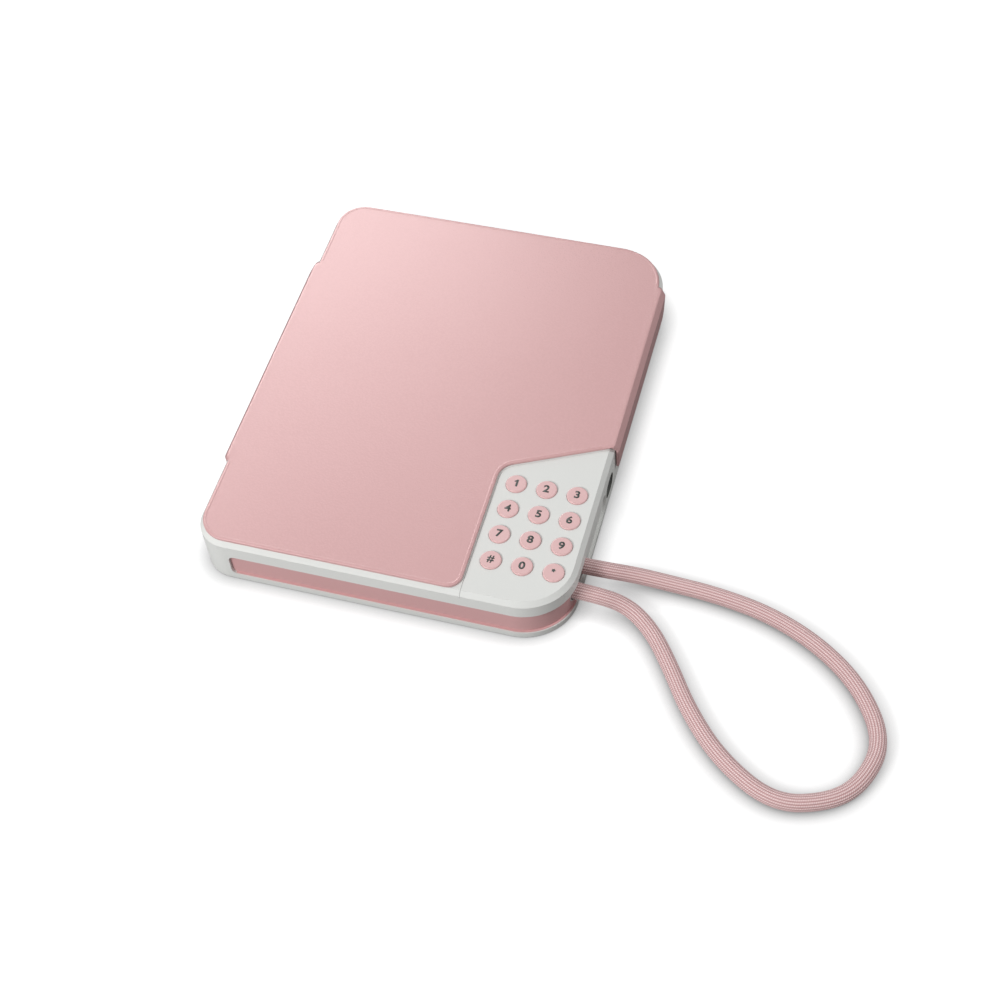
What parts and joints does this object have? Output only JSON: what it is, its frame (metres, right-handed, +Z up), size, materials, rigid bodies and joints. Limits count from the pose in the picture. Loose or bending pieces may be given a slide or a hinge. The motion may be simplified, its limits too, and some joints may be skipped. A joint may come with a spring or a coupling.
{
  "type": "electronic secret diary",
  "caption": "Flat case with a leathercloth cover hinged on one side, magnetic flap, keypad lock, notebook store and wrist loop.",
  "frame": {"origin": "centre of the case's footprint on the plane that the feet stand on", "axes": "+X towards the flap side, +Y away from the keypad end along the longest side, +Z up"},
  "size_m": [0.2986, 0.2573, 0.0261],
  "materials": {
    "white_case": "fine moulded texture",
    "pink_inlay": "fine moulded texture",
    "tray_pink": "fine moulded texture",
    "key_pink": "satin with dark printed legends",
    "silicone": "translucent grey",
    "foot_rubber": "matt",
    "circuit_board": "solder mask",
    "black_plastic": "moulded",
    "cell_wrap": "foil pouch",
    "steel": "plain",
    "screw_steel": "zinc plated",
    "copper": "enamelled winding wire",
    "magnet": "nickel plated",
    "leathercloth": "satin coated cloth with a fine grain",
    "cover_board": "grey board",
    "liner_cloth": "lining paper cloth",
    "card": "coated card",
    "paper": "uncoated leaves",
    "elastic": "ribbed woven elastic"
  },
  "bodies": {
    "case": {"case_body": "white_case", "bottom_cover": "white_case", "case_screws": "screw_steel", "rubber_feet": "foot_rubber", "groove_inlay": "pink_inlay", "storage_tray": "tray_pink", "notebook_cover": "card", "notebook_pages": "paper", "keypad_panel": "white_case", "key_mat": "silicone", "keypad_board": "circuit_board", "board_screws": "screw_steel", "main_chip": "black_plastic", "buzzer": "black_plastic", "usb_board": "circuit_board", "usb_socket": "steel", "usb_tongue": "black_plastic", "usb_bezel": "black_plastic", "battery": "cell_wrap", "lock_frame": "steel", "lock_coil": "copper", "bolt_spring": "screw_steel", "flap_magnets": "magnet", "cord_anchor": "black_plastic", "anchor_screws": "screw_steel", "wrist_cord": "elastic", "spine_strip": "leathercloth"},
    "cover": {"cover_skin": "leathercloth", "cover_board": "cover_board", "lid_liner": "liner_cloth", "strike_plate": "steel", "strike_screws": "screw_steel"},
    "flap": {"closure_flap": "leathercloth", "flap_plate": "steel"},
    "lock_bolt": {"lock_bolt": "steel"},
    "key_1_body": {"key_1": "key_pink"},
    "key_2_body": {"key_2": "key_pink"},
    "key_3_body": {"key_3": "key_pink"},
    "key_4_body": {"key_4": "key_pink"},
    "key_5_body": {"key_5": "key_pink"},
    "key_6_body": {"key_6": "key_pink"},
    "key_7_body": {"key_7": "key_pink"},
    "key_8_body": {"key_8": "key_pink"},
    "key_9_body": {"key_9": "key_pink"},
    "key_0_body": {"key_0": "key_pink"},
    "key_hash_body": {"key_hash": "key_pink"},
    "key_star_body": {"key_star": "key_pink"}
  },
  "joints": [
    {"name": "cover_hinge", "type": "hinge", "parent": "case", "child": "cover", "pos_m": [-0.0794, 0, 0.0262], "axis": [0, -1, 0], "range_deg": [0, 180]},
    {"name": "flap_crease", "type": "hinge", "parent": "cover", "child": "flap", "pos_m": [0.0794, 0.03, 0.0262], "axis": [0, -1, 0], "range_deg": [0, 110]},
    {"name": "bolt_slide", "type": "slide", "parent": "case", "child": "lock_bolt", "axis": [-1, 0, 0], "range_m": [0, 0.0036], "stiffness_N_per_m": 120, "deforming": ["bolt_spring"]},
    {"name": "key_1_press", "type": "slide", "parent": "case", "child": "key_1_body", "axis": [0, 0, -1], "range_m": [0, 0.0006], "stiffness_N_per_m": 900, "springref_m": -0.0002, "deforming": ["key_mat"]},
    {"name": "key_2_press", "type": "slide", "parent": "case", "child": "key_2_body", "axis": [0, 0, -1], "range_m": [0, 0.0006], "stiffness_N_per_m": 900, "springref_m": -0.0002, "deforming": ["key_mat"]},
    {"name": "key_3_press", "type": "slide", "parent": "case", "child": "key_3_body", "axis": [0, 0, -1], "range_m": [0, 0.0006], "stiffness_N_per_m": 900, "springref_m": -0.0002, "deforming": ["key_mat"]},
    {"name": "key_4_press", "type": "slide", "parent": "case", "child": "key_4_body", "axis": [0, 0, -1], "range_m": [0, 0.0006], "stiffness_N_per_m": 900, "springref_m": -0.0002, "deforming": ["key_mat"]},
    {"name": "key_5_press", "type": "slide", "parent": "case", "child": "key_5_body", "axis": [0, 0, -1], "range_m": [0, 0.0006], "stiffness_N_per_m": 900, "springref_m": -0.0002, "deforming": ["key_mat"]},
    {"name": "key_6_press", "type": "slide", "parent": "case", "child": "key_6_body", "axis": [0, 0, -1], "range_m": [0, 0.0006], "stiffness_N_per_m": 900, "springref_m": -0.0002, "deforming": ["key_mat"]},
    {"name": "key_7_press", "type": "slide", "parent": "case", "child": "key_7_body", "axis": [0, 0, -1], "range_m": [0, 0.0006], "stiffness_N_per_m": 900, "springref_m": -0.0002, "deforming": ["key_mat"]},
    {"name": "key_8_press", "type": "slide", "parent": "case", "child": "key_8_body", "axis": [0, 0, -1], "range_m": [0, 0.0006], "stiffness_N_per_m": 900, "springref_m": -0.0002, "deforming": ["key_mat"]},
    {"name": "key_9_press", "type": "slide", "parent": "case", "child": "key_9_body", "axis": [0, 0, -1], "range_m": [0, 0.0006], "stiffness_N_per_m": 900, "springref_m": -0.0002, "deforming": ["key_mat"]},
    {"name": "key_0_press", "type": "slide", "parent": "case", "child": "key_0_body", "axis": [0, 0, -1], "range_m": [0, 0.0006], "stiffness_N_per_m": 900, "springref_m": -0.0002, "deforming": ["key_mat"]},
    {"name": "key_hash_press", "type": "slide", "parent": "case", "child": "key_hash_body", "axis": [0, 0, -1], "range_m": [0, 0.0006], "stiffness_N_per_m": 900, "springref_m": -0.0002, "deforming": ["key_mat"]},
    {"name": "key_star_press", "type": "slide", "parent": "case", "child": "key_star_body", "axis": [0, 0, -1], "range_m": [0, 0.0006], "stiffness_N_per_m": 900, "springref_m": -0.0002, "deforming": ["key_mat"]}
  ]
}
